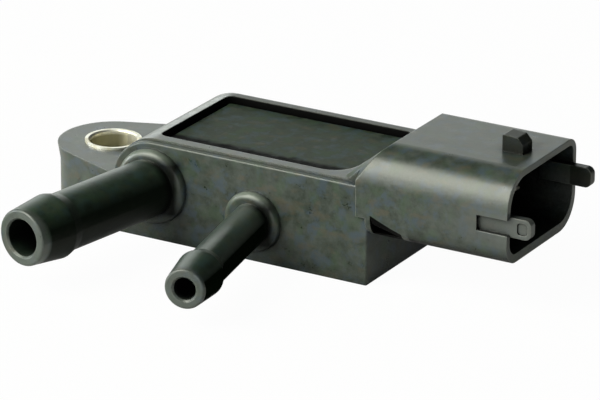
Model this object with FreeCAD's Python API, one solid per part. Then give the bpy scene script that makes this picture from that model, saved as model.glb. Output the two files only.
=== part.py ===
"""Differential pressure sensor with a bolt ear, two hose nipples and a three pin socket.

The frame stands on the mounting face. Its origin is the centre of the bolt bush there,
+X runs along the body to the socket, the hose nipples point to -Y, and +Z is up.
All lengths are in millimetres and all angles in degrees.
"""
import FreeCAD
import Part
import math
import os

Vector = FreeCAD.Vector

# Bolt ear
BOLT_HOLE = 6.5
BUSH_WALL = 0.65
BUSH_PROUD = 0.3
EAR_HEIGHT = 8.0
EAR_RADIUS = 7.6
EAR_WAIST = 0.35
EAR_WAIST_HEIGHT = 5.7

# Body of the housing
BODY_DEPTH = 22.1
BODY_HEIGHT = 13.9
SHOULDER_RADIUS = 6.3
BLOCK_LENGTH = 38.9
BLOCK_HEIGHT = 9.6
UPPER_SETBACK = 1.4
RIM_STEP_WIDTH = 1.0
RIM_STEP_DROP = 0.25
EDGE_RADIUS = 0.25

# Hose nipples, the large one concentric with the shoulder
LARGE_PORT_X = 13.3
LARGE_PORT_Z = 7.6
LARGE_SPLAY = -10.1
LARGE_LENGTH = 25.3
LARGE_TUBE_RADIUS = 3.95
LARGE_RIDGE_RADIUS = 4.42
LARGE_TIP_RADIUS = 3.8
LARGE_BORE_RADIUS = 2.5
LARGE_COLLAR_RADIUS = 5.2
SMALL_PORT_INSET = 15.6
SMALL_PORT_Z = 5.7
SMALL_SPLAY = 10.6
SMALL_LENGTH = 25.5
SMALL_TUBE_RADIUS = 2.75
SMALL_RIDGE_RADIUS = 3.25
SMALL_TIP_RADIUS = 2.7
SMALL_BORE_RADIUS = 1.5
SMALL_COLLAR_RADIUS = 4.15
RIDGE_SETBACK = 5.7
RIDGE_REAR = 1.7
COLLAR_HEIGHT = 1.2
COLLAR_ROUND = 0.9
TIP_ROUND = 0.35

# Socket for the plug
SOCKET_PROUD = 0.55
SOCKET_BACK_INSET = 3.45
SOCKET_FLOOR = 6.85
SOCKET_HEIGHT = 12.05
SOCKET_LENGTH = 20.7
SOCKET_DEPTH = 15.0
SOCKET_WALL = 0.85
SOCKET_FLOOR_WALL = 1.2
SOCKET_RADII = {"low_front": 2.6, "low_back": 4.4, "top_back": 2.0, "top_front": 4.9}
RAMP_START = 0.3
RAMP_RUN = 6.0
RAMP_BLEND = 2.55
RAMP_FRONT_SETBACK = 0.55
RAMP_FRONT_RUN = 4.15
ROOT_POCKET_SETBACK = 0.8
ROOT_POCKET_LENGTH = 4.5
ROOT_POCKET_DEPTH = 6.0
ROOT_POCKET_HEIGHT = 2.6
ROOT_POCKET_LIFT = 0.6

# Guide lugs in the mouth of the socket and the latch nose on its top
LUG_REACH = 3.1
LUG_INSIDE = 4.4
LUG_THICK = 1.1
LUG_HEIGHT = 2.7
LUG_INSET = 0.65
LUG_ROUND = 0.9
LUG_DISH = 0.2
FRONT_LUG_Z = 12.3
BACK_LUG_Z = 14.0
LUG_POCKET_HEIGHT = 2.1
LUG_POCKET_RISE = 0.15
NOSE_FROM_MOUTH = 5.6
NOSE_OFF_MIDDLE = 0.75
NOSE_LENGTH = 3.0
NOSE_WIDTH = 2.55
NOSE_HEIGHT = 2.3

# Cover plate and its seat
COVER_INSET_LEFT = 5.6
COVER_INSET_RIGHT = 3.2
COVER_INSET_FRONT = 2.5
COVER_INSET_BACK = 1.4
COVER_SUNK = 0.85
COVER_THICK = 1.6
COVER_GAP = 0.5
COVER_CORNERS = {"front_left": 1.3, "front_right": 3.6, "back_right": 1.0, "back_left": 1.0}
COVER_EDGE = 0.25
SEAL_HEIGHT = 0.95

# Chamber under the cover
LEDGE = 1.1
LEDGE_FRONT = 2.1
CHAMBER_FLOOR = 4.6
CHAMBER_RADIUS = 1.0
WELL_LENGTH = 8.0
WELL_WIDTH = 8.0
WELL_FLOOR = 1.6
DUCT_RADIUS = 1.1
DUCT_SETBACK = 2.2
SHELF_LENGTH = 2.9
SHELF_HEIGHT = 1.7

# Circuit and pressure cell
BOARD_THICK = 0.9
BOARD_TO_SHELF = 0.8
BOARD_TO_WALL = 0.4
BOARD_MARGIN = 0.8
BOND_THICK = 0.15
CELL_HOLE_RADIUS = 0.6
CELL_SIDE = 3.0
CELL_BASE_HEIGHT = 0.9
DIE_THICK = 0.4
GEL_RING_SIDE = 7.4
GEL_RING_WALL = 0.7
GEL_RING_HEIGHT = 2.4
GEL_HEIGHT = 2.0
DIE_WIRE_THICK = 0.12
CHIP_LENGTH = 3.2
CHIP_WIDTH = 4.2
CHIP_HEIGHT = 1.1
CHIP_TO_RING = 0.3
CAP_LENGTH = 1.4
CAP_WIDTH = 1.0
CAP_HEIGHT = 0.8
CAP_GAP = 0.4

# Terminals
TERMINAL_LOWERED = 0.5
TERMINAL_TO_WALL = 0.2
TERMINAL_WIDTH = 1.5
TERMINAL_THICK = 0.64
TERMINAL_REACH = 9.6
TERMINAL_BEND_INSET = 1.9
TERMINAL_TIP = 0.35
LINK_THICK = 0.2
LINK_WIDTH = 0.9
LINK_SPAN = 3.0
LINK_RISE = 0.8

# Places that follow from the sizes above
BODY_LEFT = LARGE_PORT_X - SHOULDER_RADIUS
BLOCK_RIGHT = BODY_LEFT + BLOCK_LENGTH
UPPER_RIGHT = BLOCK_RIGHT - UPPER_SETBACK
SMALL_PORT_X = UPPER_RIGHT - SMALL_PORT_INSET
BODY_FRONT = -BODY_DEPTH / 2
BODY_BACK = BODY_DEPTH / 2
BUSH_RADIUS = BOLT_HOLE / 2 + BUSH_WALL
SOCKET_FRONT = BODY_FRONT - SOCKET_PROUD
SOCKET_BACK = BODY_BACK - SOCKET_BACK_INSET
SOCKET_TOP = SOCKET_FLOOR + SOCKET_HEIGHT
SOCKET_MIDDLE = (SOCKET_FRONT + SOCKET_BACK) / 2
SOCKET_MOUTH = BLOCK_RIGHT + SOCKET_LENGTH
SOCKET_REAR = SOCKET_MOUTH - SOCKET_DEPTH
NOSE_X = SOCKET_MOUTH - NOSE_FROM_MOUTH
NOSE_Y = SOCKET_MIDDLE + NOSE_OFF_MIDDLE
SEAT_LEFT = BODY_LEFT + COVER_INSET_LEFT
SEAT_RIGHT = UPPER_RIGHT - COVER_INSET_RIGHT
SEAT_FRONT = BODY_FRONT + COVER_INSET_FRONT
SEAT_BACK = BODY_BACK - COVER_INSET_BACK
COVER_TOP = BODY_HEIGHT - COVER_SUNK
SEAT_Z = COVER_TOP - COVER_THICK
CHAMBER_LEFT = SEAT_LEFT + LEDGE
CHAMBER_RIGHT = SEAT_RIGHT - LEDGE
CHAMBER_FRONT = SEAT_FRONT + LEDGE_FRONT
CHAMBER_BACK = SEAT_BACK - LEDGE
SHELF_LEFT = CHAMBER_RIGHT - SHELF_LENGTH
SHELF_TOP = CHAMBER_FLOOR + SHELF_HEIGHT
CELL_X = SMALL_PORT_X + math.tan(math.radians(-SMALL_SPLAY)) * DUCT_SETBACK
CELL_Y = (CHAMBER_FRONT + CHAMBER_BACK) / 2
CHIP_LEFT = CELL_X - GEL_RING_SIDE / 2 - CHIP_TO_RING - CHIP_LENGTH
BOARD_LEFT = CHIP_LEFT - BOARD_MARGIN
BOARD_RIGHT = SHELF_LEFT - BOARD_TO_SHELF
BOARD_FRONT = CHAMBER_FRONT + BOARD_TO_WALL
BOARD_BACK = CHAMBER_BACK - BOARD_TO_WALL
BOARD_UNDER = CHAMBER_FLOOR + BOND_THICK
BOARD_TOP = BOARD_UNDER + BOARD_THICK
DIE_UNDER = BOARD_TOP + CELL_BASE_HEIGHT
DIE_TOP = DIE_UNDER + DIE_THICK
TERMINAL_Z = (SOCKET_FLOOR + SOCKET_TOP) / 2 - TERMINAL_LOWERED
TERMINAL_BEND_X = BLOCK_RIGHT - TERMINAL_BEND_INSET
FRONT_TERMINAL_Y = CHAMBER_FRONT + TERMINAL_TO_WALL + TERMINAL_WIDTH / 2
TERMINAL_PITCH = SOCKET_MIDDLE - FRONT_TERMINAL_Y
FUSE_OVERLAP = 1.0


def rounded_wire(corners, place):
    """Closed wire through corners (u, v, radius), with an arc tangent to both sides at each."""
    count = len(corners)
    turns = []
    for index, (u, v, radius) in enumerate(corners):
        here = Vector(u, v, 0)
        back_u, back_v, _ = corners[index - 1]
        next_u, next_v, _ = corners[(index + 1) % count]
        to_back = (Vector(back_u, back_v, 0) - here).normalize()
        to_next = (Vector(next_u, next_v, 0) - here).normalize()
        if radius == 0:
            turns.append((here, None, here))
            continue
        half = to_back.getAngle(to_next) / 2
        trim = radius / math.tan(half)
        inward = (to_back + to_next).normalize() * (radius / math.sin(half) - radius)
        turns.append((here + to_back * trim, here + inward, here + to_next * trim))
    edges = []
    for index, (start, middle, end) in enumerate(turns):
        if middle is not None:
            edges.append(Part.Arc(place(start), place(middle), place(end)).toShape())
        following = turns[(index + 1) % count][0]
        if (following - end).Length > 1e-6:
            edges.append(Part.LineSegment(place(end), place(following)).toShape())
    return Part.Wire(edges)


def prism_z(corners, low, high):
    """Solid of an XY outline between two heights."""
    wire = rounded_wire(corners, lambda p: Vector(p.x, p.y, low))
    return Part.Face(wire).extrude(Vector(0, 0, high - low))


def prism_y(corners, front, back):
    """Solid of an XZ outline between two depths."""
    wire = rounded_wire(corners, lambda p: Vector(p.x, front, p.y))
    return Part.Face(wire).extrude(Vector(0, back - front, 0))


def prism_x(corners, left, right):
    """Solid of a YZ outline between two stations."""
    wire = rounded_wire(corners, lambda p: Vector(left, p.x, p.y))
    return Part.Face(wire).extrude(Vector(right - left, 0, 0))


def box(left, right, front, back, low, high):
    return Part.makeBox(right - left, back - front, high - low, Vector(left, front, low))


def rectangle(left, right, front, back, radius=0):
    return [(left, front, radius), (right, front, radius), (right, back, radius), (left, back, radius)]


def turned(corners):
    """Solid of revolution about Z from an outline of (radius, height, rounding) corners."""
    wire = rounded_wire(corners, lambda p: Vector(p.x, 0, p.y))
    return Part.Face(wire).revolve(Vector(0, 0, 0), Vector(0, 0, 1), 360)


def along_port(shape, x, z, splay):
    """Turns a shape made along Z to point out of the front face, splayed in plan."""
    placed = shape.copy()
    placed.rotate(Vector(0, 0, 0), Vector(1, 0, 0), 90)
    placed.rotate(Vector(0, 0, 0), Vector(0, 0, 1), splay)
    placed.translate(Vector(x, BODY_FRONT, z))
    return placed


def body_outline(height, shoulder):
    return [
        (BODY_LEFT, 0, 0),
        (BLOCK_RIGHT, 0, 0),
        (BLOCK_RIGHT, BLOCK_HEIGHT, 0),
        (UPPER_RIGHT, BLOCK_HEIGHT, 0),
        (UPPER_RIGHT, height, 0),
        (BODY_LEFT, height, shoulder),
    ]


def round_face_edges(solid, depth, radius):
    """Rounds the edges of the face at one depth, apart from those on the mounting face."""
    edges = []
    for edge in solid.Edges:
        bounds = edge.BoundBox
        flat = abs(bounds.YMin - depth) < 1e-6 and abs(bounds.YMax - depth) < 1e-6
        if flat and bounds.ZMax > 1e-6:
            edges.append(edge)
    return solid.makeFillet(radius, edges)


def body():
    """Block with a round shoulder, and a front strip that lies a step lower."""
    step = BODY_FRONT + RIM_STEP_WIDTH
    block = prism_y(body_outline(BODY_HEIGHT, SHOULDER_RADIUS), step, BODY_BACK)
    block = round_face_edges(block, BODY_BACK, EDGE_RADIUS)
    low_shoulder = SHOULDER_RADIUS - RIM_STEP_DROP
    strip = prism_y(body_outline(BODY_HEIGHT - RIM_STEP_DROP, low_shoulder), BODY_FRONT, step)
    strip = round_face_edges(strip, BODY_FRONT, EDGE_RADIUS)
    return block.fuse(strip)


def ear_wire(radius, height):
    """Round end about the bolt hole with sides that flare to the corners of the body."""
    reach = BODY_LEFT + EDGE_RADIUS
    corner = Vector(reach, BODY_BACK - EDGE_RADIUS / 2, 0)
    swing = math.atan2(corner.y, corner.x) + math.acos(radius / corner.Length)
    touch_x = radius * math.cos(swing)
    touch_y = radius * math.sin(swing)
    back_corner = Vector(reach, corner.y, height)
    back_touch = Vector(touch_x, touch_y, height)
    front_touch = Vector(touch_x, -touch_y, height)
    front_corner = Vector(reach, -corner.y, height)
    return Part.Wire([
        Part.LineSegment(back_corner, back_touch).toShape(),
        Part.Arc(back_touch, Vector(-radius, 0, height), front_touch).toShape(),
        Part.LineSegment(front_touch, front_corner).toShape(),
        Part.LineSegment(front_corner, back_corner).toShape(),
    ])


def ear():
    waist = EAR_RADIUS - EAR_WAIST
    lower = Part.Face(ear_wire(waist, 0)).extrude(Vector(0, 0, EAR_WAIST_HEIGHT))
    wires = [ear_wire(waist, EAR_WAIST_HEIGHT), ear_wire(EAR_RADIUS, EAR_HEIGHT)]
    upper = Part.makeLoft(wires, True, True)
    return lower.fuse(upper)


def nipple(length, tube, ridge, tip):
    """Hose nipple with one barb behind a tapered nose."""
    ridge_at = length - RIDGE_SETBACK
    return turned([
        (0, -FUSE_OVERLAP, 0),
        (tube, -FUSE_OVERLAP, 0),
        (tube, ridge_at - RIDGE_REAR, 0.8),
        (ridge, ridge_at, 0.5),
        (tip, length, TIP_ROUND),
        (0, length, 0),
    ])


def collar(radius):
    """Rounded boss at the foot of a nipple, square to the front face."""
    return turned([
        (0, -FUSE_OVERLAP, 0),
        (radius, -FUSE_OVERLAP, 0),
        (radius, COLLAR_HEIGHT, COLLAR_ROUND),
        (0, COLLAR_HEIGHT, 0),
    ])


def ports():
    large = nipple(LARGE_LENGTH, LARGE_TUBE_RADIUS, LARGE_RIDGE_RADIUS, LARGE_TIP_RADIUS)
    small = nipple(SMALL_LENGTH, SMALL_TUBE_RADIUS, SMALL_RIDGE_RADIUS, SMALL_TIP_RADIUS)
    return [
        along_port(large, LARGE_PORT_X, LARGE_PORT_Z, LARGE_SPLAY),
        along_port(collar(LARGE_COLLAR_RADIUS), LARGE_PORT_X, LARGE_PORT_Z, 0),
        along_port(small, SMALL_PORT_X, SMALL_PORT_Z, SMALL_SPLAY),
        along_port(collar(SMALL_COLLAR_RADIUS), SMALL_PORT_X, SMALL_PORT_Z, 0),
    ]


def socket_outline(wall, floor_wall):
    """Outline of the socket, drawn in by its walls for the inside."""
    radii = SOCKET_RADII
    return [
        (SOCKET_FRONT + wall, SOCKET_FLOOR + floor_wall, radii["low_front"] - wall),
        (SOCKET_BACK - wall, SOCKET_FLOOR + floor_wall, radii["low_back"] - wall),
        (SOCKET_BACK - wall, SOCKET_TOP - wall, radii["top_back"] - wall),
        (SOCKET_FRONT + wall, SOCKET_TOP - wall, radii["top_front"] - wall),
    ]


def ramp_section(foot, run, depth):
    """Outline of the air above the rim, left of the ramp, at one depth."""
    rise = SOCKET_TOP - BODY_HEIGHT
    over = 1 + FUSE_OVERLAP / rise
    corners = [
        Vector(SEAT_RIGHT - FUSE_OVERLAP, depth, BODY_HEIGHT),
        Vector(foot, depth, BODY_HEIGHT),
        Vector(foot + run * over, depth, BODY_HEIGHT + rise * over),
        Vector(SEAT_RIGHT - FUSE_OVERLAP, depth, BODY_HEIGHT + rise * over),
    ]
    return Part.makePolygon(corners + corners[:1])


def ramp_air():
    """Space that leaves a ramp from the rim of the cover up to the top of the socket."""
    foot = SEAT_RIGHT + RAMP_START
    front_foot = UPPER_RIGHT - RAMP_FRONT_SETBACK
    blend = SOCKET_FRONT + RAMP_BLEND
    behind = BODY_BACK + FUSE_OVERLAP
    main = Part.Face(ramp_section(foot, RAMP_RUN, blend)).extrude(Vector(0, behind - blend, 0))
    front = ramp_section(front_foot, RAMP_FRONT_RUN, SOCKET_FRONT)
    turn = Part.makeLoft([front, ramp_section(foot, RAMP_RUN, blend)], True, True)
    return main.fuse(turn)


def socket_shell():
    """Outside of the socket, with a root in the body that stays behind the step in the rim."""
    shell = prism_x(socket_outline(0, 0), SEAT_RIGHT, SOCKET_MOUTH)
    outer = SOCKET_FRONT - FUSE_OVERLAP
    inner = BODY_FRONT + EDGE_RADIUS
    step = BODY_FRONT + RIM_STEP_WIDTH
    beside = box(SEAT_RIGHT - FUSE_OVERLAP, UPPER_RIGHT, outer, step, 0, SOCKET_TOP)
    below = box(SEAT_RIGHT - FUSE_OVERLAP, BLOCK_RIGHT, outer, inner, 0, BLOCK_HEIGHT)
    return shell.cut(ramp_air()).cut(beside).cut(below)


def socket_cavity():
    outline = socket_outline(SOCKET_WALL, SOCKET_FLOOR_WALL)
    return prism_x(outline, SOCKET_REAR, SOCKET_MOUTH + FUSE_OVERLAP)


def root_pocket():
    """Wedge shaped relief in the front of the socket where it leaves the block."""
    left = BLOCK_RIGHT + ROOT_POCKET_SETBACK
    right = left + ROOT_POCKET_LENGTH
    low = SOCKET_FLOOR + ROOT_POCKET_LIFT
    corners = [
        (left, low, 0),
        (left + ROOT_POCKET_LENGTH / 2, low + 0.2, 0),
        (right, low + 0.25, 0),
        (left + ROOT_POCKET_LENGTH * 0.4, low + ROOT_POCKET_HEIGHT * 0.44, 1.5),
        (left + ROOT_POCKET_LENGTH * 0.08, low + ROOT_POCKET_HEIGHT * 0.6, 0.5),
        (left, low + ROOT_POCKET_HEIGHT, 0),
    ]
    return prism_y(corners, SOCKET_FRONT - FUSE_OVERLAP, SOCKET_FRONT + ROOT_POCKET_DEPTH)


def lug(front, back, middle):
    """Guide lug that runs along a side wall and out of the mouth."""
    low = middle - LUG_HEIGHT / 2
    high = middle + LUG_HEIGHT / 2
    tip = SOCKET_MOUTH + LUG_REACH
    corners = [
        (SOCKET_MOUTH - LUG_INSIDE, low, 0),
        (tip, low, LUG_ROUND),
        (tip, high, LUG_ROUND),
        (SOCKET_MOUTH - LUG_INSIDE, high, 0),
    ]
    return prism_y(corners, front, back)


def lug_dish(front, back, middle):
    """Shallow dish in the outer side of a lug, near its tip."""
    half = LUG_HEIGHT / 2 - 0.55
    tip = SOCKET_MOUTH + LUG_REACH - 0.5
    low = middle - half
    high = middle + half
    corners = [(tip - 1.5, low, 0.4), (tip, low, 0.5), (tip, high, 0.5), (tip - 1.5, high, 0.4)]
    return prism_y(corners, front, back)


def lugs():
    front = SOCKET_FRONT + LUG_INSET
    back = SOCKET_BACK - LUG_INSET
    front_lug = lug(front, front + LUG_THICK, FRONT_LUG_Z)
    back_lug = lug(back - LUG_THICK, back, BACK_LUG_Z)
    return [
        front_lug.cut(lug_dish(front, front + LUG_DISH, FRONT_LUG_Z)),
        back_lug.cut(lug_dish(back - LUG_DISH, back, BACK_LUG_Z)),
    ]


def lug_pocket():
    """Pocket in the front wall that slopes down to the face of the front lug."""
    half = LUG_POCKET_HEIGHT / 2
    left = SOCKET_MOUTH - LUG_INSIDE
    right = SOCKET_MOUTH + FUSE_OVERLAP
    outer = SOCKET_FRONT - FUSE_OVERLAP
    inner = SOCKET_FRONT + LUG_INSET
    shallow = inner - LUG_POCKET_RISE
    corners = [
        (left, outer, 0),
        (right, outer, 0),
        (right, inner, 0),
        (left + LUG_INSIDE / 2, inner, 0),
        (left, shallow, 0),
    ]
    return prism_z(corners, FRONT_LUG_Z - half, FRONT_LUG_Z + half)


def latch_nose():
    """Catch that a plug snaps over, steep towards the body and sloped towards the mouth."""
    top = SOCKET_TOP + NOSE_HEIGHT
    end = NOSE_X + NOSE_LENGTH
    corners = [
        (NOSE_X, SOCKET_TOP - SOCKET_WALL / 2, 0),
        (end, SOCKET_TOP - SOCKET_WALL / 2, 0),
        (end, top - 1.1, 0.2),
        (end - 0.8, top - 0.2, 0.3),
        (NOSE_X, top, 0.2),
    ]
    return prism_y(corners, NOSE_Y - NOSE_WIDTH / 2, NOSE_Y + NOSE_WIDTH / 2)


def cover_outline(gap):
    """Outline of the cover seat, drawn in by a gap for the cover itself."""
    radii = COVER_CORNERS
    return [
        (SEAT_LEFT + gap, SEAT_FRONT + gap, radii["front_left"] - gap),
        (SEAT_RIGHT - gap, SEAT_FRONT + gap, radii["front_right"] - gap),
        (SEAT_RIGHT - gap, SEAT_BACK - gap, radii["back_right"] - gap),
        (SEAT_LEFT + gap, SEAT_BACK - gap, radii["back_left"] - gap),
    ]


def chamber():
    """Room under the cover, with a shelf at its right end for the terminals."""
    outline = rectangle(CHAMBER_LEFT, CHAMBER_RIGHT, CHAMBER_FRONT, CHAMBER_BACK, CHAMBER_RADIUS)
    room = prism_z(outline, CHAMBER_FLOOR, SEAT_Z + FUSE_OVERLAP)
    shelf = box(
        SHELF_LEFT,
        CHAMBER_RIGHT + FUSE_OVERLAP,
        CHAMBER_FRONT - FUSE_OVERLAP,
        CHAMBER_BACK + FUSE_OVERLAP,
        CHAMBER_FLOOR - FUSE_OVERLAP,
        SHELF_TOP,
    )
    return room.cut(shelf)


def well():
    """Space under the board that the small port feeds."""
    outline = rectangle(
        CELL_X - WELL_LENGTH / 2,
        CELL_X + WELL_LENGTH / 2,
        CELL_Y - WELL_WIDTH / 2,
        CELL_Y + WELL_WIDTH / 2,
        CHAMBER_RADIUS,
    )
    return prism_z(outline, WELL_FLOOR, CHAMBER_FLOOR)


def bore(radius, length, inside):
    """Bore of a nipple with a small countersink at its tip."""
    sink = 0.25
    return turned([
        (0, -inside, 0),
        (radius, -inside, 0),
        (radius, length - sink, 0),
        (radius + sink, length, 0),
        (radius + sink, length + FUSE_OVERLAP, 0),
        (0, length + FUSE_OVERLAP, 0),
    ])


def ducts():
    """Bore of each port, and the drop that leads the small one under the board."""
    to_chamber = CHAMBER_FRONT - BODY_FRONT + FUSE_OVERLAP
    large = bore(LARGE_BORE_RADIUS, LARGE_LENGTH, to_chamber)
    small = bore(SMALL_BORE_RADIUS, SMALL_LENGTH, DUCT_SETBACK)
    middle = WELL_FLOOR + DUCT_RADIUS
    drop_x = CELL_X
    drop_y = BODY_FRONT + DUCT_SETBACK
    drop = Part.makeCylinder(DUCT_RADIUS, SMALL_PORT_Z - middle, Vector(drop_x, drop_y, middle))
    elbow = Part.makeSphere(DUCT_RADIUS, Vector(drop_x, drop_y, middle))
    reach = CELL_Y - drop_y
    across = Part.makeCylinder(DUCT_RADIUS, reach, Vector(drop_x, drop_y, middle), Vector(0, 1, 0))
    return [
        along_port(large, LARGE_PORT_X, LARGE_PORT_Z, LARGE_SPLAY),
        along_port(small, SMALL_PORT_X, SMALL_PORT_Z, SMALL_SPLAY),
        drop,
        elbow,
        across,
    ]


def bush_seat():
    return Part.makeCylinder(BUSH_RADIUS, EAR_HEIGHT + 2 * FUSE_OVERLAP, Vector(0, 0, -FUSE_OVERLAP))


def housing(terminals):
    """One moulding: body, ear, both nipples and the socket."""
    solid = body().multiFuse([ear()] + ports() + [socket_shell()])
    cuts = [
        prism_z(cover_outline(0), SEAT_Z, BODY_HEIGHT + FUSE_OVERLAP),
        chamber(),
        well(),
        socket_cavity(),
        root_pocket(),
        lug_pocket(),
        bush_seat(),
    ]
    for tool in cuts + ducts():
        solid = solid.cut(tool)
    solid = solid.multiFuse(lugs() + [latch_nose()])
    for terminal in terminals:
        solid = solid.cut(terminal)
    return solid.removeSplitter()


def bushing():
    """Steel limiter sleeve in the ear, a little proud on top."""
    height = EAR_HEIGHT + BUSH_PROUD
    chamfer = 0.2
    return turned([
        (BOLT_HOLE / 2, 0, 0),
        (BUSH_RADIUS, 0, 0),
        (BUSH_RADIUS, height, 0),
        (BOLT_HOLE / 2 + chamfer, height, 0),
        (BOLT_HOLE / 2, height - chamfer, 0),
    ])


def cover_plate():
    plate = prism_z(cover_outline(COVER_GAP), SEAT_Z, COVER_TOP)
    rim = [edge for edge in plate.Edges if edge.BoundBox.ZMin > COVER_TOP - 1e-6]
    return plate.makeFillet(COVER_EDGE, rim)


def cover_seal():
    """Bead of sealant in the gap round the cover."""
    outer = prism_z(cover_outline(0), SEAT_Z, SEAT_Z + SEAL_HEIGHT)
    inner = prism_z(cover_outline(COVER_GAP), SEAT_Z, SEAT_Z + SEAL_HEIGHT)
    return outer.cut(inner)


def terminal(y):
    """Stamped pin: a blade in the socket, a drop in the root and a tail on the shelf."""
    half = TERMINAL_THICK / 2
    tip = SOCKET_REAR + TERMINAL_REACH
    tail = SHELF_LEFT
    corners = [
        (tail, SHELF_TOP, 0),
        (TERMINAL_BEND_X + half, SHELF_TOP, TERMINAL_THICK * 1.2),
        (TERMINAL_BEND_X + half, TERMINAL_Z - half, TERMINAL_THICK * 0.2),
        (tip - TERMINAL_TIP, TERMINAL_Z - half, 0),
        (tip, TERMINAL_Z - half / 2, 0),
        (tip, TERMINAL_Z + half / 2, 0),
        (tip - TERMINAL_TIP, TERMINAL_Z + half, 0),
        (TERMINAL_BEND_X - half, TERMINAL_Z + half, TERMINAL_THICK * 1.2),
        (TERMINAL_BEND_X - half, SHELF_TOP + TERMINAL_THICK, TERMINAL_THICK * 0.2),
        (tail, SHELF_TOP + TERMINAL_THICK, 0),
    ]
    return prism_y(corners, y - TERMINAL_WIDTH / 2, y + TERMINAL_WIDTH / 2)


def terminal_places():
    return [SOCKET_MIDDLE + step * TERMINAL_PITCH for step in (-1, 0, 1)]


def strap(start, end, crown, thick, width):
    """Flat strap that stands on two flat faces and arches between them, in the XZ plane."""
    half = thick / 2
    left, right = sorted([start, end], key=lambda p: p.x)
    bend = 2.5 * thick
    corners = [
        (left.x - half, left.z, 0),
        (left.x + half, left.z, 0),
        (left.x + half, crown - thick, bend - thick),
        (right.x - half, crown - thick, bend - thick),
        (right.x - half, right.z, 0),
        (right.x + half, right.z, 0),
        (right.x + half, crown, bend),
        (left.x - half, crown, bend),
    ]
    return prism_y(corners, start.y - width / 2, start.y + width / 2)


def terminal_link(y):
    """Bonded strap from the tail of one terminal down to the board."""
    start = Vector(SHELF_LEFT + 2 * LINK_THICK, y, SHELF_TOP + TERMINAL_THICK)
    end = Vector(start.x - LINK_SPAN, y, BOARD_TOP)
    return strap(start, end, start.z + LINK_RISE, LINK_THICK, LINK_WIDTH)


def board_sheet(low, high):
    """Slab with the outline of the board and the hole under the cell."""
    slab = box(BOARD_LEFT, BOARD_RIGHT, BOARD_FRONT, BOARD_BACK, low, high)
    hole = Part.makeCylinder(CELL_HOLE_RADIUS, high - low, Vector(CELL_X, CELL_Y, low))
    return slab.cut(hole)


def board_bond():
    """Sheet of adhesive under the board, open over the well."""
    sheet = box(BOARD_LEFT, BOARD_RIGHT, BOARD_FRONT, BOARD_BACK, CHAMBER_FLOOR, BOARD_UNDER)
    window = well()
    window.translate(Vector(0, 0, BOARD_UNDER - CHAMBER_FLOOR))
    return sheet.cut(window)


def cell_square(side, low, high, radius=0):
    half = side / 2
    outline = rectangle(CELL_X - half, CELL_X + half, CELL_Y - half, CELL_Y + half, radius)
    return prism_z(outline, low, high)


def cell_base():
    """Glass foot of the pressure cell, drilled through to the small port's side."""
    block = cell_square(CELL_SIDE, BOARD_TOP, DIE_UNDER)
    hole = Part.makeCylinder(CELL_HOLE_RADIUS, CELL_BASE_HEIGHT, Vector(CELL_X, CELL_Y, BOARD_TOP))
    return block.cut(hole)


def sensing_die():
    """Silicon chip, etched from below to a thin diaphragm."""
    block = cell_square(CELL_SIDE, DIE_UNDER, DIE_TOP)
    etched = Part.makeCone(0.75, 0.5, DIE_THICK * 0.8, Vector(CELL_X, CELL_Y, DIE_UNDER))
    return block.cut(etched)


def gel_ring():
    inner = GEL_RING_SIDE - 2 * GEL_RING_WALL
    top = BOARD_TOP + GEL_RING_HEIGHT
    ring = cell_square(GEL_RING_SIDE, BOARD_TOP, top, GEL_RING_WALL * 1.6)
    return ring.cut(cell_square(inner, BOARD_TOP, top, GEL_RING_WALL * 0.6))


def die_wires():
    """Fine straps from the die to the board, as one group."""
    wires = []
    from_edge = CELL_SIDE / 2 - 0.35
    to_edge = CELL_SIDE / 2 + 0.6
    for side in (-1, 1):
        for row in (-0.8, 0.8):
            start = Vector(CELL_X + side * from_edge, CELL_Y + row, DIE_TOP)
            end = Vector(CELL_X + side * to_edge, CELL_Y + row, BOARD_TOP)
            wires.append(strap(start, end, DIE_TOP + 0.45, DIE_WIRE_THICK, DIE_WIRE_THICK))
    return Part.makeCompound(wires)


def gel(wires):
    """Soft gel that fills the ring and covers the cell and its wires."""
    inner = GEL_RING_SIDE - 2 * GEL_RING_WALL
    fill = cell_square(inner, BOARD_TOP, BOARD_TOP + GEL_HEIGHT, GEL_RING_WALL * 0.6)
    fill = fill.cut(cell_square(CELL_SIDE, BOARD_TOP, DIE_TOP))
    return fill.cut(wires)


def signal_chip():
    """Chip that turns the cell's signal into the output voltage."""
    front = CELL_Y - CHIP_WIDTH / 2
    high = BOARD_TOP + CHIP_HEIGHT
    block = box(CHIP_LEFT, CHIP_LEFT + CHIP_LENGTH, front, front + CHIP_WIDTH, BOARD_TOP, high)
    top = [edge for edge in block.Edges if edge.BoundBox.ZMin > high - 1e-6]
    return block.makeChamfer(0.15, top)


def capacitor(column, front):
    """Small ceramic capacitor in one of the columns beside the chip."""
    left = CHIP_LEFT + column * (CAP_LENGTH + CAP_GAP)
    return box(left, left + CAP_LENGTH, front, front + CAP_WIDTH, BOARD_TOP, BOARD_TOP + CAP_HEIGHT)


def capacitors():
    front = BOARD_FRONT + BOARD_MARGIN / 2
    back = BOARD_BACK - BOARD_MARGIN / 2 - CAP_WIDTH
    return [capacitor(column, place) for place in (front, back) for column in (0, 1)]


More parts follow.
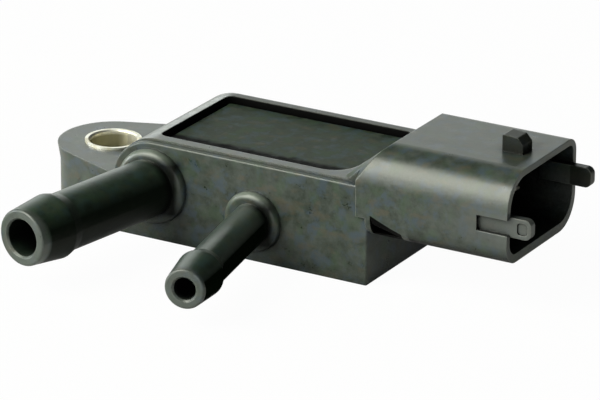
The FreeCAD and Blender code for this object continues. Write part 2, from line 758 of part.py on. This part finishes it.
def nodes():
    terminals = [terminal(y) for y in terminal_places()]
    wires = die_wires()
    shapes = {
        "housing": housing(terminals),
        "bushing": bushing(),
        "cover_plate": cover_plate(),
        "cover_seal": cover_seal(),
        "circuit_board": board_sheet(BOARD_UNDER, BOARD_TOP),
        "board_bond": board_bond(),
        "cell_base": cell_base(),
        "sensing_die": sensing_die(),
        "gel_ring": gel_ring(),
        "gel": gel(wires),
        "die_wires": wires,
        "signal_chip": signal_chip(),
    }
    for number, shape in enumerate(terminals, start=1):
        shapes["terminal_%d" % number] = shape
    for number, y in enumerate(terminal_places(), start=1):
        shapes["terminal_link_%d" % number] = terminal_link(y)
    for number, shape in enumerate(capacitors(), start=1):
        shapes["capacitor_%d" % number] = shape
    return shapes


def main():
    os.makedirs("parts", exist_ok=True)
    for name, shape in nodes().items():
        shape.exportStep("parts/%s.step" % name)
        print(name, len(shape.Solids), round(shape.Volume, 2), shape.isValid())


main()
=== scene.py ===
"""Looks of the differential pressure sensor: materials, soft studio light and the camera."""
import math

import bpy
from mathutils import Matrix, Vector

# Camera, as turned and raised from a straight front view
CAMERA_AIM = Vector((0.03486, -0.00923, 0.00919))
CAMERA_DISTANCE = 0.5682
CAMERA_TURN = 30.18
CAMERA_RISE = 21.05
CAMERA_ROLL = -0.234
LENS = 260.4
SENSOR_WIDTH = 36.0

# Floor and backdrop
FLOOR_SIZE = 6.0
FLOOR_COLOUR = (0.62, 0.62, 0.61)
FLOOR_WHITE = 0.97
FLOOR_SHINE = 0.1
WORLD_COLOUR = (0.9, 0.95, 0.92)
WORLD_LEVEL = 0.04

# Boxes of the part, from corner to corner: seat of the cover and root of the socket, which hold painted
# black shade; catch, painted darker; back lug and back rim, which hold painted shade
SEAT = ((0.01258, -0.00856, 0.0115), (0.04132, 0.00966, 0.01375))
ROOT_WEDGE = ((0.0467, -0.0118, 0.0070), (0.0511, -0.0056, 0.01003))
CATCH = ((0.0609, -0.0026, 0.01895), (0.0641, 0.0001, 0.0213))
BACK_LUG = ((0.0667, 0.0057, 0.0124), (0.0701, 0.0071, 0.0156))
BACK_RIM = ((0.0120, 0.0096, 0.0130), (0.0440, 0.01055, 0.0142))

# The painted black shade in the wedge by the socket's root ends at a slanted plane
WEDGE_SLOPE = (0.41, 0.0, 1.0)
WEDGE_TOP = 0.0292

# Boxes of painted shadow, cast by the nipples on the collars to their right, with a soft edge
COLLAR_SHADOWS = [
    ((0.0136, -0.0127, 0.0045), (0.0172, -0.0111, 0.0112)),
    ((0.0294, -0.0127, 0.0030), (0.0318, -0.0111, 0.0082)),
]
SHADOW_EDGE = 0.0011

# Places along one axis of the part, each from where a look starts to where it is whole
TUBE_ROOT = (-0.0122, -0.0127)
TUBE_END = (-0.0356, -0.0350)
TIP_FACE = (-0.0350, -0.0360)
COLLAR_BACK = (-0.01115, -0.0113)
COLLAR_FRONT = (-0.0130, -0.0127)
BODY_END = (0.045, 0.044)
SMALL_NIPPLE = (0.018, 0.022)
MOUTH_SIDE = (0.055, 0.066)
MOUTH_SIDE_TOP = (0.0150, 0.0135)
MOUTH_SIDE_FOOT = (0.0085, 0.0105)
SOCKET_REAR = (0.0518, 0.0522)
COVER_FRONT_BAND = (-0.0046, -0.0056)
BUSH_SHADED_SIDE = (0.0012, -0.0012)
BUSH_BORE = (0.0079, 0.0076)

# Directions faced by the nipples' painted shade side, their painted light side and the collars' painted
# highlight
LEE_SIDE = (0.6, 0.0, -0.8)
LIT_SIDE = (-0.60, -0.15, 0.78)
COLLAR_LIT_SIDE = (-0.35, -0.3, 0.9)

# Colours
# Near black, for painted black shade on the housing and for the band along the cover's front edge
NEAR_BLACK = (0.002, 0.002, 0.002, 1)
HOUSING_COLOURS = ((0.021, 0.028, 0.021, 1), (0.044, 0.053, 0.046, 1))
NIPPLE_COLOURS = ((0.005, 0.012, 0.007, 1), (0.021, 0.038, 0.024, 1))
COVER_COLOURS = ((0.005, 0.012, 0.005, 1), (0.034, 0.046, 0.034, 1))
# Painted shade on the nipples' lee side, painted light on their lit side and tip faces, painted highlight on
# the collars, and painted light on the socket's sides near the mouth
LEE_PAINTED_SHADE = (0.002, 0.004, 0.002, 1)
LIT_PAINTED_LIGHT = (0.070, 0.085, 0.078, 1)
TIP_PAINTED_LIGHT = (0.075, 0.085, 0.080, 1)
COLLAR_PAINTED_HIGHLIGHT = (0.13, 0.15, 0.125, 1)
MOUTH_PAINTED_LIGHT = (0.085, 0.090, 0.090, 1)
# Darker colour for the catch, and painted shade for the back lug and back rim
DARKER_AND_SHADE = (0.008, 0.008, 0.005, 1)
# Painted highlight on outer edges
EDGE_PAINTED_HIGHLIGHT = (0.21, 0.22, 0.20, 1)
BUSH_COLOUR = (0.97, 0.95, 0.86, 1)
BUSH_STREAK = (0.84, 0.80, 0.64, 1)
# Painted shade in the bore
BUSH_PAINTED_SHADE = (0.40, 0.38, 0.25, 1)

# Rounding of the edges, and reach of the two occlusion lookups that find closed-in places for painted shade
EDGE_WIDTH = 0.00022
NEAR_REACH = 0.006
DEEP_REACH = 0.014

# Lights: name, direction towards the light, distance, size, power, colour
LIGHTS = [
    ("key", (-0.47, -0.64, 0.61), 1.0, 0.8, 15.5, (0.99, 1.0, 0.88)),
    ("front", (-0.47, -0.87, 0.14), 1.1, 0.45, 2.5, (0.98, 1.0, 0.95)),
    ("left", (-0.95, -0.25, 0.18), 1.0, 0.5, 5.5, (0.93, 0.98, 1.0)),
    ("fill", (0.45, -0.85, 0.25), 1.0, 0.6, 2.8, (0.96, 1.0, 0.96)),
    ("back", (-0.60, 0.76, 0.22), 1.2, 1.0, 3.0, (0.95, 1.0, 0.96)),
    ("low_back", (-0.58, 0.81, 0.07), 1.2, 0.35, 0.6, (0.96, 1.0, 0.97)),
]

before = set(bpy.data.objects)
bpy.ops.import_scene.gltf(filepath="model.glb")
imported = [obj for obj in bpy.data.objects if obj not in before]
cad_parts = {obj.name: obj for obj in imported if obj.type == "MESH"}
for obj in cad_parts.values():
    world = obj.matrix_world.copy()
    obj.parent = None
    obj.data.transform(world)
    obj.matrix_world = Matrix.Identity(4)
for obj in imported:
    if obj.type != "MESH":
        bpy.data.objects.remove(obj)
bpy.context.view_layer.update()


def camera_axes():
    """Right, up and back of the camera in the part's frame."""
    turn = math.radians(CAMERA_TURN)
    rise = math.radians(CAMERA_RISE)
    roll = math.radians(CAMERA_ROLL)
    back = Vector((math.sin(turn) * math.cos(rise), -math.cos(turn) * math.cos(rise), math.sin(rise)))
    level = Vector((math.cos(turn), math.sin(turn), 0))
    upright = back.cross(level)
    right = level * math.cos(roll) - upright * math.sin(roll)
    up = level * math.sin(roll) + upright * math.cos(roll)
    return right, up, back


def add_camera():
    right, up, back = camera_axes()
    data = bpy.data.cameras.new("camera")
    data.lens = LENS
    data.sensor_width = SENSOR_WIDTH
    data.clip_start = 0.05
    data.clip_end = 20
    camera = bpy.data.objects.new("camera", data)
    bpy.context.scene.collection.objects.link(camera)
    turned = Matrix((right, up, back)).transposed().to_4x4()
    camera.matrix_world = Matrix.Translation(CAMERA_AIM + back * CAMERA_DISTANCE) @ turned
    bpy.context.scene.camera = camera


def add_light(name, direction, distance, size, power, colour):
    data = bpy.data.lights.new(name, "AREA")
    data.shape = "DISK"
    data.size = size
    data.energy = power
    data.color = colour
    light = bpy.data.objects.new(name, data)
    bpy.context.scene.collection.objects.link(light)
    towards = Vector(direction).normalized()
    light.location = CAMERA_AIM + towards * distance
    light.rotation_euler = towards.to_track_quat("Z", "Y").to_euler()


class Nodes:
    """Short way to add and link shader nodes."""

    def __init__(self, tree):
        self.tree = tree
        self.tree.nodes.clear()

    def add(self, kind, settings=(), **inputs):
        node = self.tree.nodes.new("ShaderNode" + kind)
        for key, value in dict(settings).items():
            setattr(node, key, value)
        for key, value in inputs.items():
            self.put(node, key, value)
        return node

    def put(self, node, key, value):
        socket = node.inputs[int(key[1:])] if key[0] == "_" else node.inputs[key.replace("__", " ")]
        if isinstance(value, bpy.types.NodeSocket):
            self.tree.links.new(value, socket)
        else:
            socket.default_value = value

    def noise(self, scale, detail=4.0, roughness=0.6, stretch=None):
        """Noise in the part's own coordinates; scale is in features per metre."""
        place = self.add("TexCoord").outputs["Object"]
        if stretch:
            place = self.add("VectorMath", {"operation": "MULTIPLY"}, _0=place, _1=stretch).outputs[0]
        node = self.add("TexNoise", Vector=place, Scale=scale, Detail=detail, Roughness=roughness)
        return node.outputs["Fac"]

    def remap(self, value, low, high, start=0.3, end=0.7):
        """Spreads start to end over low to high."""
        node = self.add("MapRange", _0=value, _1=start, _2=end, _3=low, _4=high)
        return node.outputs[0]

    def blend(self, factor, first, second):
        node = self.add("Mix", {"data_type": "RGBA"}, _0=factor, _6=first, _7=second)
        return node.outputs[2]


def material(name):
    made = bpy.data.materials.new(name)
    made.use_nodes = True
    return made, Nodes(made.node_tree)


def surface(nodes, shader):
    output = nodes.add("OutputMaterial")
    nodes.tree.links.new(shader.outputs[0], output.inputs["Surface"])


def bump(nodes, heights, normal=None):
    """Chain of bumps from (height, distance in metres, strength)."""
    for height, distance, strength in heights:
        node = nodes.add("Bump", Height=height, Distance=distance, Strength=strength)
        if normal:
            nodes.tree.links.new(normal, node.inputs["Normal"])
        normal = node.outputs["Normal"]
    return normal


def part_place(nodes):
    """Place on the part, in metres."""
    return nodes.add("TexCoord").outputs["Object"]


def slab(nodes, axis, reach):
    """Rises from nought to one over a reach along one axis of the part."""
    along = nodes.add("SeparateXYZ", Vector=part_place(nodes)).outputs[axis]
    return nodes.remap(along, 0, 1, *reach)


def dot(nodes, first, second):
    """How far two directions agree, or how far a place lies along a direction."""
    return nodes.add("VectorMath", {"operation": "DOT_PRODUCT"}, _0=first, _1=second).outputs["Value"]


def beneath(nodes, slope, height):
    """One below a slanted plane, which the slope and the height along it give."""
    return nodes.remap(dot(nodes, part_place(nodes), slope), 1, 0, height, height + 0.0001)


def leaning(nodes, direction, start, end):
    """Rises from nought to one as the surface turns towards a direction of the part."""
    normal = nodes.add("TexCoord").outputs["Normal"]
    return nodes.remap(dot(nodes, normal, direction), 0, 1, start, end)


def chain(nodes, operation, shares):
    """Joins shares with one operation."""
    whole = shares[0]
    for part in shares[1:]:
        whole = nodes.add("Math", {"operation": operation}, _0=whole, _1=part).outputs[0]
    return whole


def all_of(nodes, *shares):
    """One only where each share is one."""
    return chain(nodes, "MULTIPLY", shares)


def any_of(nodes, *shares):
    """The largest of the shares."""
    return chain(nodes, "MAXIMUM", shares)


def inside(nodes, low, high, edge=0.0001):
    """One inside a box of the part's space and nought outside."""
    shares = []
    for axis, start, end in zip("XYZ", low, high):
        shares.append(slab(nodes, axis, (start - edge, start)))
        shares.append(slab(nodes, axis, (end + edge, end)))
    return all_of(nodes, *shares)


def between(nodes, factor, first, second):
    """Number from first to second."""
    return nodes.add("Mix", _0=factor, _2=first, _3=second).outputs[0]


def layer(nodes, tint, share, strength, colour):
    """Lays a colour over the tint, with a strength where the share is one."""
    return nodes.blend(between(nodes, share, 0.0, strength), tint, colour)


def openness(nodes, reach):
    """One in the open and less where the part closes in within a reach."""
    return nodes.add("AmbientOcclusion", {"samples": 4}, Distance=reach).outputs["AO"]


def edge_highlights(nodes, rounded, open_air):
    """One on outer edges, where a highlight is painted, and nought on faces and in corners."""
    flat = nodes.add("NewGeometry").outputs["Normal"]
    bent = nodes.remap(dot(nodes, rounded, flat), 1, 0, 0.80, 0.99)
    return all_of(nodes, bent, nodes.remap(open_air, 0, 1, 0.75, 0.95))


def mottled(nodes, dark, light):
    """Cloudy colour with green, blue and brown patches."""
    cloud = nodes.remap(nodes.noise(620, 6.0, 0.72), 0, 1, 0.38, 0.62)
    tint = nodes.blend(cloud, dark, light)
    red, green, blue = light[:3]
    greenish = (red * 0.75, green * 1.15, blue * 0.65, 1)
    bluish = (red * 0.78, green * 0.95, blue * 1.45, 1)
    brownish = (red * 1.25, green * 0.92, blue * 0.70, 1)
    patches = [
        (nodes.noise(350, 4.0, 0.6, (1.2, 1.0, 0.9)), 0.35, 0.50, 0.62, greenish),
        (nodes.noise(520, 4.0, 0.6), 0.7, 0.50, 0.62, bluish),
        (nodes.noise(440, 4.0, 0.6, (1.0, 1.3, 1.7)), 0.6, 0.54, 0.66, brownish),
    ]
    for patch, strength, start, end, colour in patches:
        tint = nodes.blend(nodes.remap(patch, 0, strength, start, end), tint, colour)
    return tint


def rough_skin(nodes, grain, normal=None):
    """Fine spark grain, small dents and slow flow marks."""
    fine = nodes.noise(7000, 3.0, 0.6)
    dents = nodes.noise(1500, 4.0, 0.65)
    flow = nodes.noise(160, 3.0, 0.5, (1.0, 1.0, 3.0))
    return bump(nodes, [(flow, 0.0002, 0.18), (dents, 0.00004, 0.22), (fine, 0.00002, grain)], normal)


def cover_plastic():
    """Dull plastic, black along its front edge with a ragged border."""
    made, nodes = material("cover_plastic")
    ragged = nodes.remap(nodes.noise(500, 3.0, 0.5), -0.0004, 0.0004)
    across = nodes.add("SeparateXYZ", Vector=part_place(nodes)).outputs["Y"]
    across = nodes.add("Math", {"operation": "ADD"}, _0=across, _1=ragged).outputs[0]
    # Black band along the cover's front edge, with a ragged border
    front_band = nodes.remap(across, 0, 1, *COVER_FRONT_BAND)
    shader = nodes.add(
        "BsdfPrincipled",
        Base__Color=nodes.blend(front_band, mottled(nodes, *COVER_COLOURS), NEAR_BLACK),
        Roughness=nodes.remap(nodes.noise(620, 6.0, 0.7), 0.50, 0.75),
        Normal=rough_skin(nodes, 0.35),
        Specular__IOR__Level=between(nodes, front_band, 0.24, 0.04),
    )
    surface(nodes, shader)
    return made


def painted_black_shade(nodes, open_air):
    """One where the housing gets painted black shade: in the seat, the root wedge, deep in the socket, in
    closed-in places, and as the nipples' shadows on the collars.
    """
    # Painted black shade: wedge at the socket's root, deep inside the socket, the seat, closed-in places and
    # the shadows on the collars
    wedge = all_of(nodes, inside(nodes, *ROOT_WEDGE), beneath(nodes, WEDGE_SLOPE, WEDGE_TOP))
    deep = nodes.remap(openness(nodes, DEEP_REACH), 1, 0, 0.55, 0.80)
    socket = all_of(nodes, slab(nodes, "X", SOCKET_REAR), deep)
    places = [inside(nodes, *SEAT), wedge, nodes.remap(open_air, 1, 0, 0.25, 0.65), socket]
    for low, high in COLLAR_SHADOWS:
        places.append(between(nodes, inside(nodes, low, high, SHADOW_EDGE), 0.0, 0.9))
    return any_of(nodes, *places)


def housing_plastic():
    """The same plastic with darker nipples and catch, painted light and painted shade on the nipples,
    painted highlights on the collars and outer edges, painted light by the socket's mouth, painted shade on
    the back lug and back rim, and painted black shade in the seat and closed-in places.
    """
    made, nodes = material("housing_plastic")
    open_air = openness(nodes, NEAR_REACH)
    rounded = nodes.add("Bevel", {"samples": 4}, Radius=EDGE_WIDTH).outputs["Normal"]

    tube = all_of(nodes, slab(nodes, "Y", TUBE_ROOT), slab(nodes, "Y", TUBE_END))
    small = slab(nodes, "X", SMALL_NIPPLE)
    # Painted shade on the nipples' side facing away from the light, and painted light on their lit side
    lee = all_of(nodes, tube, leaning(nodes, LEE_SIDE, -0.35, 0.25))
    lit = all_of(nodes, tube, leaning(nodes, LIT_SIDE, 0.70, 0.99))
    ring = all_of(nodes, slab(nodes, "Y", COLLAR_BACK), slab(nodes, "Y", COLLAR_FRONT))
    ring = all_of(nodes, ring, slab(nodes, "X", BODY_END))
    # Painted highlight on the collars' side facing the light
    collar_highlight = all_of(nodes, ring, leaning(nodes, COLLAR_LIT_SIDE, 0.45, 0.95))
    # Painted light on the socket's sides near the mouth, at mid height
    mouth_light = all_of(nodes, slab(nodes, "Z", MOUTH_SIDE_TOP), slab(nodes, "Z", MOUTH_SIDE_FOOT))
    mouth_light = all_of(nodes, mouth_light, slab(nodes, "X", MOUTH_SIDE))
    # Catch painted darker; painted shade on the back lug and back rim
    darker_and_shaded = any_of(nodes, inside(nodes, *CATCH), inside(nodes, *BACK_LUG), inside(nodes, *BACK_RIM))
    black = painted_black_shade(nodes, open_air)

    tint = nodes.blend(tube, mottled(nodes, *HOUSING_COLOURS), mottled(nodes, *NIPPLE_COLOURS))
    tint = layer(nodes, tint, mouth_light, 0.6, MOUTH_PAINTED_LIGHT)
    # Painted shade on the nipples' lee side
    tint = nodes.blend(lee, tint, LEE_PAINTED_SHADE)
    # Painted highlight on the collars
    tint = layer(nodes, tint, collar_highlight, 0.8, COLLAR_PAINTED_HIGHLIGHT)
    # Painted light on the nipples' lit side
    tint = layer(nodes, tint, lit, 0.5, LIT_PAINTED_LIGHT)
    # Painted light on the nipples' tip faces
    tint = layer(nodes, tint, slab(nodes, "Y", TIP_FACE), 0.5, TIP_PAINTED_LIGHT)
    tint = layer(nodes, tint, darker_and_shaded, 0.7, DARKER_AND_SHADE)
    # Painted highlight on outer edges
    tint = layer(nodes, tint, edge_highlights(nodes, rounded, open_air), 0.65, EDGE_PAINTED_HIGHLIGHT)
    tint = nodes.blend(black, tint, NEAR_BLACK)

    body_gloss = nodes.remap(nodes.noise(620, 6.0, 0.7), 0.26, 0.40)
    # Reflections are cut on the nipples' lee side as painted shade, dulled on the catch, back lug and back
    # rim, and nearly cut under the painted black shade
    sheen = between(nodes, tube, 0.5, between(nodes, small, 0.75, 1.15))
    sheen = between(nodes, all_of(nodes, lee, between(nodes, small, 0.82, 1.0)), sheen, 0.0)
    sheen = between(nodes, between(nodes, darker_and_shaded, 0.0, 0.6), sheen, 0.1)
    shader = nodes.add(
        "BsdfPrincipled",
        Base__Color=tint,
        Roughness=between(nodes, tube, body_gloss, between(nodes, small, 0.44, 0.30)),
        Normal=rough_skin(nodes, 0.3, rounded),
        Specular__IOR__Level=between(nodes, black, sheen, 0.05),
    )
    surface(nodes, shader)
    return made


def bush_steel():
    """Bright yellowish plating with streaks along the bore, and painted shade on the bore's side towards the
    ear's end.
    """
    made, nodes = material("bush_steel")
    streaks = nodes.remap(nodes.noise(1100, 4.0, 0.6, (1.0, 1.0, 0.15)), 0, 1, 0.42, 0.62)
    # Painted shade on the bore's side towards the ear's end
    bore_shade = all_of(nodes, slab(nodes, "X", BUSH_SHADED_SIDE), slab(nodes, "Z", BUSH_BORE))
    shader = nodes.add(
        "BsdfPrincipled",
        Base__Color=nodes.blend(bore_shade, nodes.blend(streaks, BUSH_COLOUR, BUSH_STREAK), BUSH_PAINTED_SHADE),
        Metallic=1.0,
        Roughness=nodes.remap(streaks, 0.42, 0.54, 0, 1),
        Normal=bump(nodes, [(streaks, 0.00001, 0.4)]),
    )
    surface(nodes, shader)
    return made


def metal(name, colour, worn, roughness, lines):
    """Turned or stamped metal: fine lines along one axis and cloudy tarnish."""
    made, nodes = material(name)
    tarnish = nodes.remap(nodes.noise(500, 5.0, 0.6), 0, 1, 0.4, 0.7)
    tint = nodes.blend(tarnish, colour, worn)
    brushed = nodes.noise(900, 3.0, 0.5, lines)
    shader = nodes.add(
        "BsdfPrincipled",
        Base__Color=tint,
        Metallic=1.0,
        Roughness=nodes.remap(brushed, roughness, roughness + 0.15),
        Normal=bump(nodes, [(brushed, 0.00001, 0.4)]),
    )
    surface(nodes, shader)
    return made


def plain(name, colour, other, roughness):
    """Even solid colour with a little cloud, for the pieces inside."""
    made, nodes = material(name)
    cloud = nodes.remap(nodes.noise(700, 4.0, 0.6), 0, 1, 0.35, 0.65)
    fine = nodes.noise(6000, 2.0, 0.5)
    shader = nodes.add(
        "BsdfPrincipled",
        Base__Color=nodes.blend(cloud, colour, other),
        Roughness=nodes.remap(cloud, roughness, roughness + 0.1, 0, 1),
        Normal=bump(nodes, [(fine, 0.00001, 0.3)]),
    )
    surface(nodes, shader)
    return made


def clear(name, colour, roughness, transmission):
    made, nodes = material(name)
    fine = nodes.noise(700, 2.0, 0.5)
    shader = nodes.add(
        "BsdfPrincipled",
        Base__Color=colour,
        Roughness=roughness,
        Normal=bump(nodes, [(fine, 0.00002, 0.2)]),
    )
    shader.inputs["Transmission Weight"].default_value = transmission
    surface(nodes, shader)
    return made


def dress(material_made, *names):
    for name in names:
        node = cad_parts[name]
        for slot in node.material_slots:
            slot.material = material_made


def add_floor():
    """Pale floor that looks white to the camera and in reflections, but still takes the shadow."""
    half = FLOOR_SIZE / 2
    mesh = bpy.data.meshes.new("floor")
    corners = [(-half, -half, 0), (half, -half, 0), (half, half, 0), (-half, half, 0)]
    mesh.from_pydata(corners, [], [(0, 1, 2, 3)])
    floor = bpy.data.objects.new("floor", mesh)
    bpy.context.scene.collection.objects.link(floor)
    floor.location.z = -0.00005
    made, nodes = material("floor")
    diffuse = nodes.add("BsdfDiffuse", Color=(*FLOOR_COLOUR, 1))
    white = nodes.add("Emission", Color=(1, 1, 1, 1), Strength=1.0)
    path = nodes.add("LightPath").outputs
    seen = nodes.add("Math", {"operation": "MULTIPLY"}, _0=path["Is Camera Ray"], _1=FLOOR_WHITE)
    shiny = any_of(nodes, path["Is Glossy Ray"], path["Is Transmission Ray"])
    mirrored = nodes.add("Math", {"operation": "MULTIPLY"}, _0=shiny, _1=FLOOR_SHINE)
    share = any_of(nodes, seen.outputs[0], mirrored.outputs[0])
    mixed = nodes.add("MixShader", _0=share, _1=diffuse.outputs[0], _2=white.outputs[0])
    surface(nodes, mixed)
    mesh.materials.append(made)


def add_world():
    world = bpy.data.worlds.new("studio")
    world.use_nodes = True
    nodes = Nodes(world.node_tree)
    background = nodes.add("Background", Color=(*WORLD_COLOUR, 1), Strength=WORLD_LEVEL)
    output = nodes.add("OutputWorld")
    world.node_tree.links.new(background.outputs[0], output.inputs["Surface"])
    bpy.context.scene.world = world


def dress_all():
    dress(housing_plastic(), "housing")
    dress(cover_plastic(), "cover_plate")
    dress(bush_steel(), "bushing")
    blade = metal("terminal_metal", (0.80, 0.78, 0.72, 1), (0.70, 0.64, 0.48, 1), 0.25, (0.2, 6.0, 6.0))
    dress(blade, "terminal_1", "terminal_2", "terminal_3")
    wire = metal("wire_metal", (0.85, 0.85, 0.86, 1), (0.75, 0.75, 0.76, 1), 0.2, (0.3, 4.0, 4.0))
    dress(wire, "die_wires", "terminal_link_1", "terminal_link_2", "terminal_link_3")
    seal = plain("seal", (0.004, 0.004, 0.004, 1), (0.008, 0.008, 0.008, 1), 0.6)
    dress(seal, "cover_seal", "board_bond")
    dress(plain("board_ceramic", (0.80, 0.79, 0.74, 1), (0.70, 0.69, 0.64, 1), 0.5), "circuit_board")
    dress(plain("chip_epoxy", (0.012, 0.012, 0.013, 1), (0.02, 0.02, 0.02, 1), 0.5), "signal_chip")
    dress(plain("ring_plastic", (0.03, 0.03, 0.03, 1), (0.045, 0.045, 0.045, 1), 0.4), "gel_ring")
    ceramic = plain("capacitor_ceramic", (0.42, 0.30, 0.19, 1), (0.34, 0.24, 0.15, 1), 0.4)
    dress(ceramic, "capacitor_1", "capacitor_2", "capacitor_3", "capacitor_4")
    dress(plain("silicon", (0.12, 0.13, 0.16, 1), (0.15, 0.16, 0.19, 1), 0.15), "sensing_die")
    dress(clear("cell_glass", (0.85, 0.92, 0.90, 1), 0.15, 0.8), "cell_base")
    dress(clear("gel", (0.92, 0.94, 0.92, 1), 0.08, 0.85), "gel")


add_camera()
for entry in LIGHTS:
    add_light(*entry)
add_world()
add_floor()
dress_all()
bpy.context.scene.view_settings.view_transform = "Standard"
